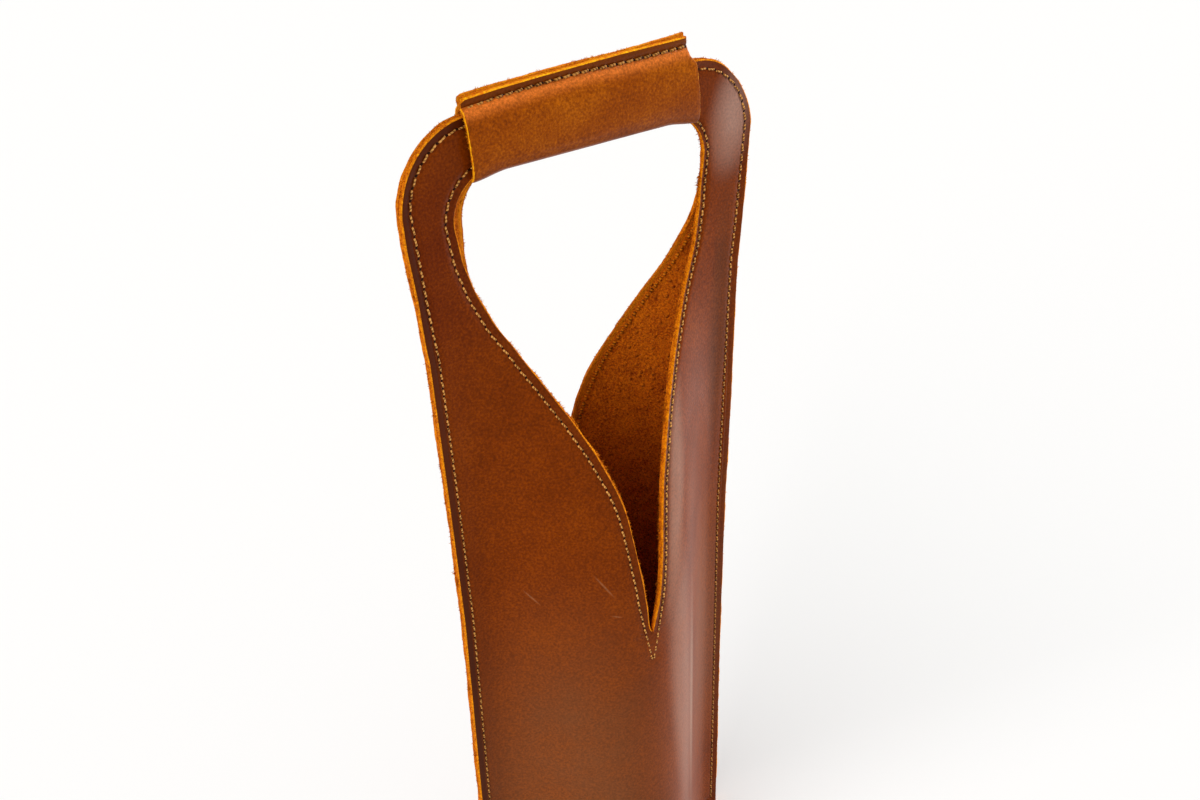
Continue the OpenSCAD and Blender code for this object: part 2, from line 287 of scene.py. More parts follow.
def section_loop(span, first, middle=18):
    """Place of each column in mm from the first edge, its level from 0 on the suede to 1 on the grain, and
    the kind of each face between two columns. span is each row's width, and first is 0 on a row without a
    first edge."""
    near = NEAR_EDGE * first[:, None]
    far = span[:, None] - NEAR_EDGE[::-1]
    share = np.linspace(0, 1, middle + 2)[1:-1]
    face = np.concatenate([near, near[:, -1:] + (far[:, :1] - near[:, -1:]) * share, far], axis=1)
    turn_last, turn_first = span[:, None] - EDGE_ROUND[:, 0], EDGE_ROUND[::-1, 0] * first[:, None]
    place = np.concatenate([face, turn_last, face[:, ::-1], turn_first], axis=1)
    count = face.shape[1]
    level = np.concatenate([np.ones(count), EDGE_ROUND[:, 1], np.zeros(count), EDGE_ROUND[::-1, 1]])
    kind = np.repeat([GRAIN, RAW, SUEDE, RAW], [count - 1, TURN + 1, count - 1, TURN + 1])
    return place, level, kind


def ragged(rows, columns, seed, size):
    """Even noise from a seeded generator, smoothed once along the rows: a cut edge isn't a machined one."""
    noise = np.random.default_rng(seed).normal(size=(rows, columns))
    return size * (0.5 * noise + 0.25 * np.roll(noise, 1, 0) + 0.25 * np.roll(noise, -1, 0))


print("columns on one face", 2 * len(NEAR_EDGE) + 18, "and on each raw edge", TURN)

# %% [markdown]
# The grid becomes a closed mesh in three steps. Points at the same place are welded, a quad that has lost a
# corner becomes a triangle, and the faces are turned outwards by the sign of the volume they enclose.

# %% Grid to closed mesh


def grid_faces(rows, columns):
    """Four corners for each cell of a grid of rows, whose last column joins the first."""
    row, column = np.meshgrid(np.arange(rows - 1) * columns, np.arange(columns), indexing="ij")
    after = (column + 1) % columns
    corners = [row + column, row + after, row + columns + after, row + columns + column]
    return np.stack(corners, -1).reshape(-1, 4)


def weld(points, quads, kinds, reach=1e-3):
    """One point for all that share a place to 0.001 mm; the kept points, quads, triangles and kinds."""
    places = np.round(points / reach).astype(np.int64)
    _, kept, to = np.unique(places, axis=0, return_index=True, return_inverse=True)
    quads = to.reshape(-1)[quads]
    lost = quads == np.roll(quads, -1, axis=1)
    whole, clipped = lost.sum(1) == 0, lost.sum(1) == 1
    triangles = quads[clipped][~lost[clipped]].reshape(-1, 3)
    return kept, quads[whole], triangles, np.concatenate([kinds[whole], kinds[clipped]])


def make_piece(name, points, quads, triangles, kinds, materials, attributes):
    """A mesh in metres from arrays in mm, smooth shaded, with material indices and point attributes."""
    corners = np.concatenate([quads[:, [0, 1, 2]], quads[:, [0, 2, 3]], triangles])
    a, b, c = (points[corners[:, k]] for k in range(3))
    if np.einsum("ij,ij->", a, np.cross(b, c)) < 0:
        quads, triangles = quads[:, ::-1], triangles[:, ::-1]
    mesh = bpy.data.meshes.new(name)
    mesh.from_pydata((points * MM).tolist(), [], quads.tolist() + triangles.tolist())
    mesh.polygons.foreach_set("material_index", kinds.astype(np.int32))
    mesh.polygons.foreach_set("use_smooth", np.ones(len(mesh.polygons), bool))
    for key, values in attributes.items():
        mesh.attributes.new(key, "FLOAT", "POINT").data.foreach_set("value", values.astype(np.float32))
    for material in materials:
        mesh.materials.append(material)
    mesh.update()
    piece = bpy.data.objects.new(name, mesh)
    bpy.context.scene.collection.objects.link(piece)
    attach(piece, "root")
    print(name, "triangles", len(quads) * 2 + len(triangles))
    return piece


def make_leather(name, points, quads, kinds, materials, attributes):
    """A piece of leather from its grid: welded, with each attribute kept at the points that stay."""
    points = points.reshape(-1, 3)
    kept, quads, triangles, kinds = weld(points, quads, kinds)
    values = {key: value.reshape(-1)[kept] for key, value in attributes.items()}
    return make_piece(name, points[kept], quads, triangles, kinds, materials, values)


# %% [markdown]
# ## Nodes for the finishes
# Leather has no single colour, so each finish is a small network of noises whose sizes come from the real
# thing. One helper adds a node with its settings and links. Colours are written as the hex values that a
# picture shows and turned to linear light by one function.

# %% Helpers for materials


def linear(code):
    """Linear red, green, blue and alpha from a hex code: the sRGB curve undone for each channel."""
    channel = np.array([int(code[k : k + 2], 16) / 255 for k in (1, 3, 5)])
    low, high = channel / 12.92, ((channel + 0.055) / 1.055) ** 2.4
    return (*np.where(channel <= 0.04045, low, high).tolist(), 1.0)


def add(tree, kind, sockets=None, **settings):
    """A node with its settings; each named socket is linked to a socket, or set to a value."""
    node = tree.nodes.new(kind)
    for name, value in settings.items():
        setattr(node, name, value)
    for name, value in (sockets or {}).items():
        if isinstance(value, bpy.types.NodeSocket):
            tree.links.new(value, node.inputs[name])
        else:
            node.inputs[name].default_value = value
    return node


def new_material(name):
    """An empty material and its tree, with the place on the object in metres ready to read."""
    material = bpy.data.materials.new(name)
    material.use_nodes = True
    material.node_tree.nodes.clear()
    tree = material.node_tree
    return material, tree, add(tree, "ShaderNodeTexCoord").outputs["Object"]


def per_mm(size):
    """Noise scale on coordinates in metres for features of a size in mm."""
    return 1000.0 / size


def tinted(tree, colour, tint, share, unevenness):
    """A colour mixed with a tint by a share that the unevenness breaks up."""
    broken = add(tree, "ShaderNodeMath", {0: share, 1: unevenness}, operation="MULTIPLY")
    sockets = {"Factor": broken.outputs["Value"], "A": colour, "B": linear(tint)}
    return add(tree, "ShaderNodeMix", sockets, data_type="RGBA").outputs["Result"]


print("mid grey in linear light", round(linear("#808080")[0], 3))

# %% [markdown]
# ## Waxed pull-up leather
# The panels are full-grain cowhide, drum dyed and hot stuffed with wax and oil. It gives a deep red-brown
# that turns lighter where the wax is pushed away, with soft clouds 20 to 40 mm wide, pores and a few pale
# scratches. The pores are drawn 1.2 mm apart, coarser than the real ones, so that they show. The wax makes
# the leather half glossy, so it mirrors pale light at a flat angle.

# %% Grain of the panels


def grain_leather(name, dark, middle, light, margin, cloud, marks):
    """Three tones by clouds, their size in mm, broken up by specks of 1 mm; then marks and the margin, both
    partly painted light and shade.
    """
    material, tree, place = new_material(name)
    clouds = add(tree, "ShaderNodeTexNoise", {
        "Vector": place, "Scale": per_mm(cloud), "Detail": 5.0, "Roughness": 0.62,
    })
    specks = add(tree, "ShaderNodeTexNoise", {
        "Vector": place, "Scale": per_mm(1.0), "Detail": 3.0, "Roughness": 0.6,
    })
    sockets = {"Factor": 0.4, "A": clouds.outputs["Fac"], "B": specks.outputs["Fac"]}
    mixed = add(tree, "ShaderNodeMix", sockets)
    tone = add(tree, "ShaderNodeValToRGB", {"Fac": mixed.outputs["Result"]})
    ends = tone.color_ramp.elements
    ends[0].position, ends[1].position = 0.3, 0.7
    ends[0].color, ends[1].color = linear(dark), linear(light)
    ends.new(0.5).color = linear(middle)

    grit = add(tree, "ShaderNodeMapRange", {
        "Value": specks.outputs["Fac"], "From Min": 0.35, "From Max": 0.65, "To Min": 0.8, "To Max": 1.2,
    })
    uneven = add(tree, "ShaderNodeMapRange", {
        "Value": mixed.outputs["Result"], "From Min": 0.35, "From Max": 0.65, "To Min": 1.25, "To Max": 0.65,
    })
    colour = tone.outputs["Color"]

    # A mark is an ellipsoid: its middle in mm is moved to 0, turned level and scaled by its half sizes
    for middle_mm, angle, half_mm, tint, share, core in marks:
        local = add(tree, "ShaderNodeMapping", {
            "Vector": place, "Location": [c * MM for c in middle_mm],
            "Rotation": (0, math.radians(angle), 0), "Scale": [c * MM for c in half_mm],
        }, vector_type="TEXTURE")
        away = add(tree, "ShaderNodeVectorMath", {0: local.outputs["Vector"]}, operation="LENGTH")
        mark = add(tree, "ShaderNodeMapRange", {
            "Value": away.outputs["Value"], "From Min": core, "To Min": share, "To Max": 0.0,
        }, interpolation_type="SMOOTHSTEP")
        colour = tinted(tree, colour, tint, mark.outputs["Result"], uneven.outputs["Result"])

    # Darker outside the seam, burnished and partly painted shade, and pale where the sleeve is bent, pulled
    # and partly a painted highlight, by how much each point was
    for attribute, tint in (("burnished_and_shaded", margin), ("pulled_and_lit", "#dc7428")):
        amount = add(tree, "ShaderNodeAttribute", attribute_name=attribute)
        colour = tinted(tree, colour, tint, amount.outputs["Fac"], grit.outputs["Result"])

    sockets = {"Factor": 1.0, "A": colour, "B": grit.outputs["Result"]}
    colour = add(tree, "ShaderNodeMix", sockets, data_type="RGBA", blend_type="MULTIPLY").outputs["Result"]

    pores = add(tree, "ShaderNodeTexVoronoi", {"Vector": place, "Scale": per_mm(1.2), "Randomness": 1.0})
    sockets = {"Factor": 0.5, "A": pores.outputs["Distance"], "B": specks.outputs["Fac"]}
    relief = add(tree, "ShaderNodeMix", sockets).outputs["Result"]
    bump = add(tree, "ShaderNodeBump", {"Height": relief, "Strength": 0.5, "Distance": 0.13 * MM})
    gloss = add(tree, "ShaderNodeMapRange", {
        "Value": mixed.outputs["Result"], "From Min": 0.3, "From Max": 0.7, "To Min": 0.46, "To Max": 0.36,
    })
    skin = add(tree, "ShaderNodeBsdfPrincipled", {
        "Base Color": colour, "Roughness": gloss.outputs["Result"], "Normal": bump.outputs["Normal"],
        "IOR": 1.48, "Specular IOR Level": 0.03, "Specular Tint": (1.0, 0.75, 0.55, 1.0),
        "Coat Weight": 0.055, "Coat Roughness": 0.12, "Coat IOR": 1.45,
        "Sheen Weight": 0.22, "Sheen Roughness": 0.3, "Sheen Tint": (1.0, 0.93, 0.9, 1.0),
    })
    add(tree, "ShaderNodeOutputMaterial", {"Surface": skin.outputs["BSDF"]})
    return material


# Marks as (middle in mm, angle, half sizes in mm, colour, share, core). First three scratches, then a darker
# left strap and a paler patch low down, which is a painted reflection of the floor. Then, on the right,
# painted reflections of the white floor and card: a wide veil with its brighter core, one beside the lip and
# a wide haze over the side. Last, a painted highlight on the head of the right strap and painted shade over
# its outer part.
PANEL_MARKS_AND_PAINTED_LIGHT = [
    ((-22, -30, 212), 60, (9, 25, 0.6), "#c08a60", 0.3, 0.2),
    ((-47, -16, 208), 56, (6, 25, 0.5), "#c08a60", 0.3, 0.2),
    ((-18, -32, 196), 20, (3, 25, 0.5), "#c08a60", 0.3, 0.2),
    # Darker over the left strap
    ((-74, 0, 362), 0, (34, 60, 74), "#5a1600", 0.45, 0.1),
    # A paler, greyer patch low down: painted reflection of the white floor
    ((-40, -30, 90), 0, (70, 90, 150), "#85502e", 0.68, 0.1),
    # Painted reflections on the right of the body: a wide veil, its brighter core, one beside the lip and a
    # haze
    ((22.3, -34, 138), -5, (15.5, 40, 115), "#c89c88", 0.3, 0.3),
    ((37.3, -24, 110), -2, (5, 40, 100), "#dcbca8", 0.3, 0.1),
    ((19.5, -30, 245), 12, (10, 40, 85), "#b48c78", 0.42, 0.2),
    ((60, -12, 130), 0, (24, 40, 110), "#a88068", 0.22, 0.2),
    # Painted highlight on the head of the right strap
    ((72, -8, 388), 8, (17, 16, 32), "#bd9686", 0.88, 0.15),
    # Painted shade over the outer part of the right strap
    ((67, -3, 296), 2.5, (9, 60, 76), "#5c2c08", 0.6, 0.3),
]
panel_grain = grain_leather(
    "waxed_pull_up_leather", "#6c2a00", "#7d3301", "#8e3f02", "#461a06", 30, PANEL_MARKS_AND_PAINTED_LIGHT
)
sleeve_grain = grain_leather("pale_pull_up_leather", "#783200", "#984600", "#b66006", "#5a2808", 26, [])
print("grain materials", panel_grain.name, sleeve_grain.name)

# %% [markdown]
# ## Suede
# The flesh side was left unfinished: a matt nap of loose fibres, brushed in patches. It is rough and takes
# no highlight. Its nap is drawn 1 mm wide, coarser than it is, so that it shows, with crumbs of loose fibre
# a few millimetres apart. The pale fuzz of the cut lies over its last 2 to 3 mm.

# %% Suede


def fibres(tree, place, dark, light, patch, fibre):
    """Two tones by patches and by fibres, both sizes in mm; gives the colour and the fibres' relief."""
    patches = add(tree, "ShaderNodeTexNoise", {"Vector": place, "Scale": per_mm(patch), "Detail": 3.0})
    nap = add(tree, "ShaderNodeTexNoise", {
        "Vector": place, "Scale": per_mm(fibre), "Detail": 4.0, "Roughness": 0.7, "Distortion": 0.6,
    })
    mixed = add(tree, "ShaderNodeMix", {"Factor": 0.8, "A": patches.outputs["Fac"], "B": nap.outputs["Fac"]})
    tone = add(tree, "ShaderNodeValToRGB", {"Fac": mixed.outputs["Result"]})
    ends = tone.color_ramp.elements
    ends[0].position, ends[1].position = 0.38, 0.62
    ends[0].color, ends[1].color = linear(dark), linear(light)
    return tone.outputs["Color"], nap.outputs["Fac"]


def matt_leather(tree, colour, relief, depth_mm, sheen):
    """A rough surface with a bump as high as the nap and the soft glow of loose fibres at flat angles."""
    bump = add(tree, "ShaderNodeBump", {"Height": relief, "Strength": 0.9, "Distance": depth_mm * MM})
    nap = add(tree, "ShaderNodeBsdfPrincipled", {
        "Base Color": colour, "Normal": bump.outputs["Normal"], "Roughness": 0.9, "Specular IOR Level": 0.1,
        "Sheen Weight": sheen, "Sheen Roughness": 0.6, "Sheen Tint": linear("#e08a3a"),
    })
    add(tree, "ShaderNodeOutputMaterial", {"Surface": nap.outputs["BSDF"]})


suede, tree, place = new_material("suede_flesh_side")
colour, relief = fibres(tree, place, "#983800", "#f48008", 9, 0.9)
crumbs = add(tree, "ShaderNodeTexVoronoi", {"Vector": place, "Scale": per_mm(3.6), "Randomness": 1.0})
crumb = add(tree, "ShaderNodeMapRange", {
    "Value": crumbs.outputs["Distance"], "From Min": 0.05, "From Max": 0.3, "To Min": 1.0, "To Max": 0.0,
}, interpolation_type="SMOOTHSTEP")
sockets = {0: crumb.outputs["Result"], 1: 1.2, 2: relief}
raised = add(tree, "ShaderNodeMath", sockets, operation="MULTIPLY_ADD")
near = add(tree, "ShaderNodeAttribute", attribute_name="from_edge")
fuzz = add(tree, "ShaderNodeMapRange", {
    "Value": near.outputs["Fac"], "From Min": 0.5, "From Max": 2.6, "To Min": 0.9, "To Max": 0.0,
})
sockets = {"Factor": fuzz.outputs["Result"], "A": colour, "B": linear("#fa960c")}
brushed = add(tree, "ShaderNodeMix", sockets, data_type="RGBA")
matt_leather(tree, brushed.outputs["Result"], raised.outputs["Value"], 1.2, 0.2)
print("suede nodes", len(tree.nodes))

# %% [markdown]
# ## Raw edge
# The raw edge shows the orange of the dye inside the hide, with dark specks where fibres end. Through the
# thickness it goes from crushed fibres at the flesh side to a pale line under the grain.

# %% Raw edge


def cut_edge(name, dark, light, line):
    """Two tones of cut fibre, multiplied by a colour for each level, the last one for the pale line."""
    material, tree, place = new_material(name)
    colour, relief = fibres(tree, place, dark, light, 3.5, 1.0)
    level = add(tree, "ShaderNodeAttribute", attribute_name="level")
    layer = add(tree, "ShaderNodeValToRGB", {"Fac": level.outputs["Fac"]})
    ends = layer.color_ramp.elements
    ends[0].position, ends[0].color = 0.0, (0.7, 0.6, 0.5, 1)
    ends[1].position, ends[1].color = 0.86, (*line, 1)
    ends.new(0.14).color = (1, 0.95, 0.9, 1)
    ends.new(0.66).color = (1, 1, 1, 1)
    sockets = {"Factor": 1.0, "A": colour, "B": layer.outputs["Color"]}
    shade = add(tree, "ShaderNodeMix", sockets, data_type="RGBA", blend_type="MULTIPLY")
    matt_leather(tree, shade.outputs["Result"], relief, 0.5, 0.04)
    return material


raw_edge = cut_edge("raw_cut_edge", "#b04a00", "#ff9406", (1.15, 1.38, 1.2))
pale_edge = cut_edge("pale_raw_cut_edge", "#d45a00", "#ffac0c", (1.2, 1.5, 1.2))
print("edge materials", raw_edge.name, pale_edge.name)

# %% [markdown]
# A knife leaves loose tufts of fibre along every cut, which break up its outline. The real ones are a tenth
# of a millimetre thick and would not show from a metre away, so ours are tufts 0.4 mm thick at the root and
# up to 1.8 mm long. Hair curves would be finer, but an exported mesh can't hold them. So each is a closed
# spike of four faces, leaning out of the raw edge in its own direction. They stand in clumps, and most grow
# near the flesh side.

# %% Tufts on a raw edge
SPIKE = np.array([[0, 1, 3], [1, 2, 3], [2, 0, 3], [0, 2, 1]])


def tufts(name, line, seed, per_run, material, long=1.0):
    """Spikes along a raw edge, per_run of them tried on each mm. line holds, for points along it, the
    edge's middle, the way out of it and the way down through it from the grain to the flesh."""
    dice = np.random.default_rng(seed)
    run = run_length(line[0])
    place = dice.uniform(0, run[-1], int(run[-1] * per_run * 1.6))
    clump = 0.5 + 0.3 * np.sin(place / 3.1 + seed) + 0.3 * np.sin(place / 7.7 + 2 * seed)
    place = place[dice.uniform(0, 1, len(place)) < clump]
    count, at = len(place), np.interp(place, run, np.arange(len(run)))
    low, part = np.minimum(at.astype(int), len(run) - 2), (at % 1)[:, None]
    middle, out, down = (values[low] * (1 - part) + values[low + 1] * part for values in line)
    away, below = unit(out), unit(down)
    along = np.cross(away, below)

    # Each root is sunk 0.1 mm into the edge, and each tip is at most 1.5 mm away, times long
    depth_share = dice.beta(2.2, 1.2, count)[:, None] * 1.9 - 0.95
    root = middle + down * depth_share * 0.48 - away * 0.1
    lean = away + along * dice.normal(0, 0.6, (count, 1)) + below * dice.normal(0.3 * long, 0.4, (count, 1))
    knots = np.arange(0, run[-1] + 2, 1.3)
    surge = np.interp(place, knots, dice.uniform(0.3, 1.7, len(knots)))[:, None]
    size = (dice.uniform(0.25, 0.7, (count, 1)) + dice.exponential(0.2, (count, 1))) * surge
    tip = root + unit(lean) * np.minimum(size, 1.5) * long
    turn = np.arange(3) * 2 * np.pi / 3
    ring = along[:, None] * np.cos(turn)[:, None] + below[:, None] * np.sin(turn)[:, None]
    points = np.concatenate([root[:, None] + 0.2 * ring, tip[:, None]], axis=1).reshape(-1, 3)
    triangles = (np.arange(count)[:, None, None] * 4 + SPIKE).reshape(-1, 3)
    level = np.repeat(0.55 - 0.25 * depth_share[:, 0], 4)
    no_quads, one_kind = np.zeros((0, 4), int), np.zeros(len(triangles))
    piece = make_piece(name, points, no_quads, triangles, one_kind, [material], {"level": level})


def edge_line(grid, last):
    """Middle of the last or the first raw edge of a grid, its way out and its way down, from the grid's
    columns before, at and behind the middle one. The last edge turns from the grain to the flesh, and the
    first one back."""
    columns = grid.shape[1]
    column, step = (columns // 2 - TURN + TURN // 2, 1) if last else (columns - TURN + TURN // 2, -1)
    places = (column + step * k for k in (-5, -3, 0, 3, 5))
    beyond, grain, middle, flesh, behind = (grid.take(place, axis=1, mode="wrap") for place in places)
    return middle, middle - (beyond + behind) / 2, flesh - grain


# %% [markdown]
# ## The two panels
# Each panel is one sheet of leather. Its rows run from the right foot up over the head to the left foot,
# and each row crosses from the mouth to the side edge. Under the mouth the two halves meet on the line of
# the slit and are welded. Every outline is first the pattern's, and then what the knife made of it.

# %% Rows of a panel
ARC_ROWS, TOP_ROWS = 28, 24


def over_the_top(half, top, corner):
    """A round corner at (half, top), then the level edge from there to the middle line."""
    left = np.linspace(1, 0, TOP_ROWS)[1:]
    level = np.stack([(half - corner) * left, np.full(len(left), top)], -1)
    return np.concatenate([arc(half, top, corner, ARC_ROWS)[1:], level])


def panel_rows(panel):
    """Outer and inner end of each row as (x, z), up the right side and down the left, and its squeeze."""
    low = np.concatenate([END_GAP, np.arange(0.5, TIP_HEIGHT - 1, 2.0)])
    tall = HOLE_SIDE - TIP_HEIGHT
    rise = np.concatenate([[0, 0.25, 0.6], np.linspace(1.2, tall, 128)]) / tall
    outer_z, inner_z = TIP_HEIGHT + (HEAD_SIDE - TIP_HEIGHT) * rise, TIP_HEIGHT + tall * rise
    outer = np.concatenate([
        np.stack([seam_edge(low), low], -1), np.stack([seam_edge(outer_z), outer_z], -1),
        over_the_top(HEAD_HALF, PANEL_HEIGHT, HEAD_CORNER),
    ])
    inner = []
    for side in (1, -1):
        inner.append(np.concatenate([
            np.stack([0 * low, low], -1), np.stack([mouth_edge(inner_z, panel, side), inner_z], -1),
            over_the_top(hole_half(panel, side), HOLE_TOP, HOLE_CORNER),
        ]) * [side, 1])
    squeeze = np.concatenate([END_SQUEEZE, np.ones(len(outer) - len(END_SQUEEZE))])
    outer = np.concatenate([outer, outer[-2::-1] * [-1, 1]])
    return outer, np.concatenate([inner[0], inner[1][-2::-1]]), np.concatenate([squeeze, squeeze[-2::-1]])


def hand_cut(outer, panel):
    """The outline as it was cut: up to 1.6 mm outside the pattern beside the room, and inside it at one
    corner. Below 353 mm the back's left edge stands in by 0.3 mm more, so that both layers show."""
    x, z = outer.T
    right = np.interp(
        z, [0, 120, 168, 200, 240, 257, 290, 337, 360, 384, 398, 408, 415.3],
        [0.3, 0.3, 0.9, 1.2, 1.6, 1.5, 0.8, 0.6, 0.1, -0.2, -1.2, -1.4, 0],
    )
    left = np.interp(z, [0, 20, 330, 352, 372, 392], [0.4, 0.8, 0.9, 0.2, 0.8, 0])
    cut = outer + np.stack([np.where(x > 0, right, -left), 0 * z], -1)
    if panel is BACK:
        cut[:, 0] += np.where(cut[:, 0] < 0, 0.3 * smooth((353 - z) / 4), 0)
    return cut


print("rows of a panel", len(panel_rows(FRONT)[0]))

# %% [markdown]
# The seams press a shallow trough into the grain, which is what makes the edge stand up as a lip. Pulling
# the panels apart has also swollen the flesh side along the free edges of the mouth. Both are small, but
# they catch the light, so they are made as shape and not as bump.

# %% Thickness of a panel


def nearest(points, path):
    """Distance of each point from a path of points, in blocks so that the table stays small."""
    blocks = np.array_split(points, max(1, len(points) // 4000))
    return np.concatenate([np.sqrt(((b[:, None] - path) ** 2).sum(2).min(1)) for b in blocks])


def trough(from_seam, from_edge):
    """0.55 mm deep at the seam, as a bell 2.4 mm wide towards the edge and 1.3 mm towards the middle."""
    return 0.55 * np.exp(-((from_seam / np.where(from_edge < SEAM_INSET, 2.4, 1.3)) ** 2))


def spread_rows(outer, inner, mouth, whole, seed):
    """Points of the grid as (x, z): each row's loop laid between its two ends. The knife wandered by 0.2 mm
    along each edge and left it ragged by 0.17 mm. Gives each row's span and the loop too."""
    span = np.linalg.norm(outer - inner, axis=1)
    place, level, kind = section_loop(span, mouth)
    along = run_length(outer)
    wander = 0.12 * np.sin(along / 13 + seed) + 0.1 * np.sin(along / 5.3 + 2 * seed)
    fringe = ragged(len(outer), len(level), seed, 0.17) + wander[:, None]
    fringe = fringe * ((level > 0) & (level < 1)) * whole[:, None]
    fringe[:, -TURN:] *= -mouth[:, None]
    across = (outer - inner) / span[:, None]
    return inner[:, None] + across[:, None] * (place + fringe)[..., None], span[:, None], place, level, kind


def panel_height(at, from_edge, place, level, mouth, squeeze, panel):
    """Height over the suede side: the level's share of the leather, less the trough on the grain. The flesh
    is 0.7 mm lower at a free edge of the mouth, where it is swollen, and level again 2.2 mm from it."""
    seams = np.concatenate([OUTER_SEAM, mouth_seam(panel), BASE_SEAM])
    from_seam = nearest(at.reshape(-1, 2), seams).reshape(from_edge.shape)
    sunk = np.where(level > 0.5, trough(from_seam, from_edge), 0)
    height = LEATHER * (0.5 + (level - 0.5) * squeeze) - sunk * squeeze
    free = smooth(depth(at[..., 0], at[..., 1], panel) / 3) * mouth
    return height - 0.7 * free * smooth(1 - place / 2.2) * (1 - level)


# %% [markdown]
# Now a panel can be put together. Three values go with each of its points for the finishes: its distance
# from the nearest edge, its level, and how much darker the margin outside the seam is, burnished all round
# and with painted shade on the left outer margin.

# %% Both panels


def make_panel(name, node, panel, seed):
    """A whole panel, worked out as the front one; the back one's points are mirrored."""
    outer, inner, squeeze = panel_rows(panel)
    rows, whole, outer = len(outer), squeeze == 1, hand_cut(outer, panel)

    # A row has an edge on the mouth from where the slit is open, and so have the rows over the hand hole
    mouth = np.clip(np.abs(inner[:, 0]), 0, 1)
    mouth[rows // 2 - 40 : rows // 2 + 41] = 1
    inner[:, 0] += drift(inner[:, 1], panel)
    at, span, place, level, kind = spread_rows(outer, inner, mouth, whole, seed)
    columns = len(level)

    # Under the mouth, where a row has no first edge, the nearest edge on that side is the slit's tip
    tip_gap = np.hypot(at[..., 0] - drift(at[..., 1], panel), np.maximum(0, TIP_HEIGHT - at[..., 1]))
    from_edge = np.minimum(np.where(mouth[:, None] > 0, place, tip_gap), span - place)
    height = panel_height(at, from_edge, place, level, mouth[:, None], squeeze[:, None], panel)
    inside, out = surface(at[..., 0], at[..., 1], panel)
    grid = (inside + out * height[..., None]) * [1, panel.mirror, 1]

    outer_line, mouth_line = edge_line(grid[whole], True), edge_line(grid[mouth == 1], False)
    tufts(f"{node}_outer_tufts", outer_line, seed, 3.0, raw_edge)
    tufts(f"{node}_mouth_tufts", mouth_line, seed + 50, 8.0, raw_edge, panel.tuft_size)

    # The two halves are joined under the mouth by leaving out the columns that would close each of them
    quads, kinds = grid_faces(rows, columns), np.tile(kind, rows - 1)
    kinds[np.repeat(~whole[:-1] & ~whole[1:], columns)] = RAW
    joined = np.repeat((mouth[:-1] == 0) & (mouth[1:] == 0), columns)
    bridge = np.tile(np.arange(columns) >= columns - TURN - 1, rows - 1)
    keep = ~(joined & bridge)

    # Painted shade: the left outer margin is darkened three times as much as the other margins
    left = (at[..., 0] < -40) & (span - place < place)
    attributes = {
        "from_edge": from_edge,
        "level": np.where(place < span / 2, np.minimum(level, 0.8), level),
        "burnished_and_shaded": smooth((4.4 - from_edge) / 1.4) * np.where(left, 0.75, 0.25),
    }
    materials = [panel_grain, raw_edge, suede]
    piece = make_leather(name, grid, quads[keep], kinds[keep], materials, attributes)
    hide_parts(node)


make_panel("front_leather_panel", "front_panel", FRONT, 11)
make_panel("back_leather_panel", "back_panel", BACK, 12)

# %% [markdown]
# ## Folded pieces
# The sleeve and the base are strips that are folded across their length. Each row is a line in the upright
# plane, smoothed where it bends, and the grain lies 2 mm out on its right-hand side. A cloth simulation
# could fold them too, but stiff leather that is sewn along a line has one shape, which is drawn here.

# %% Rows of a folded sheet


def row_places(left, length, count):
    """x of each row: even between the ends, and crowded at both, where the raw edge turns over."""
    return np.concatenate([END_GAP, np.linspace(0.5, length - 0.5, count), length - END_GAP[::-1]]) + left


def smooth_path(corners, passes, steps=16):
    """Rows of corner points joined by straight steps, then averaged with their neighbours at the bends."""
    count = corners.shape[1]
    at = np.linspace(0, count - 1, (count - 1) * steps + 1)
    low = np.minimum(at.astype(int), count - 2)
    path = corners[:, low] + (corners[:, low + 1] - corners[:, low]) * (at - low)[None, :, None]
    for _ in range(passes):
        path[:, 1:-1] = 0.25 * path[:, :-2] + 0.5 * path[:, 1:-1] + 0.25 * path[:, 2:]
    return path


def read_rows(place, length, values):
    """Each row's values, read off at that row's places by length along it."""
    return np.array([np.interp(p, l, v) for p, l, v in zip(place, length, values)])


def sleeve_tufts(name, grid, material, seed):
    """Tufts on the raw edges of both flaps and on both ends of the strip."""
    for flap, last, step in (("back", True, 1), ("front", False, -1)):
        line = edge_line(grid[4:-4], last)
        tufts(f"{name}_{flap}_flap_tufts", line, seed + step, 4.0, material, 0.8)
    half = grid.shape[1] // 2
    for row, side in ((1, -1), (-2, 1)):
        grain, flesh = grid[row, : half - TURN], grid[row, half:-TURN][::-1]
        line = (grain + flesh) / 2, np.tile([side, 0.0, 0.0], (len(grain), 1)), flesh - grain
        tufts(f"{name}_end_tufts_{row + 2}", line, seed + row, 2.0, material)
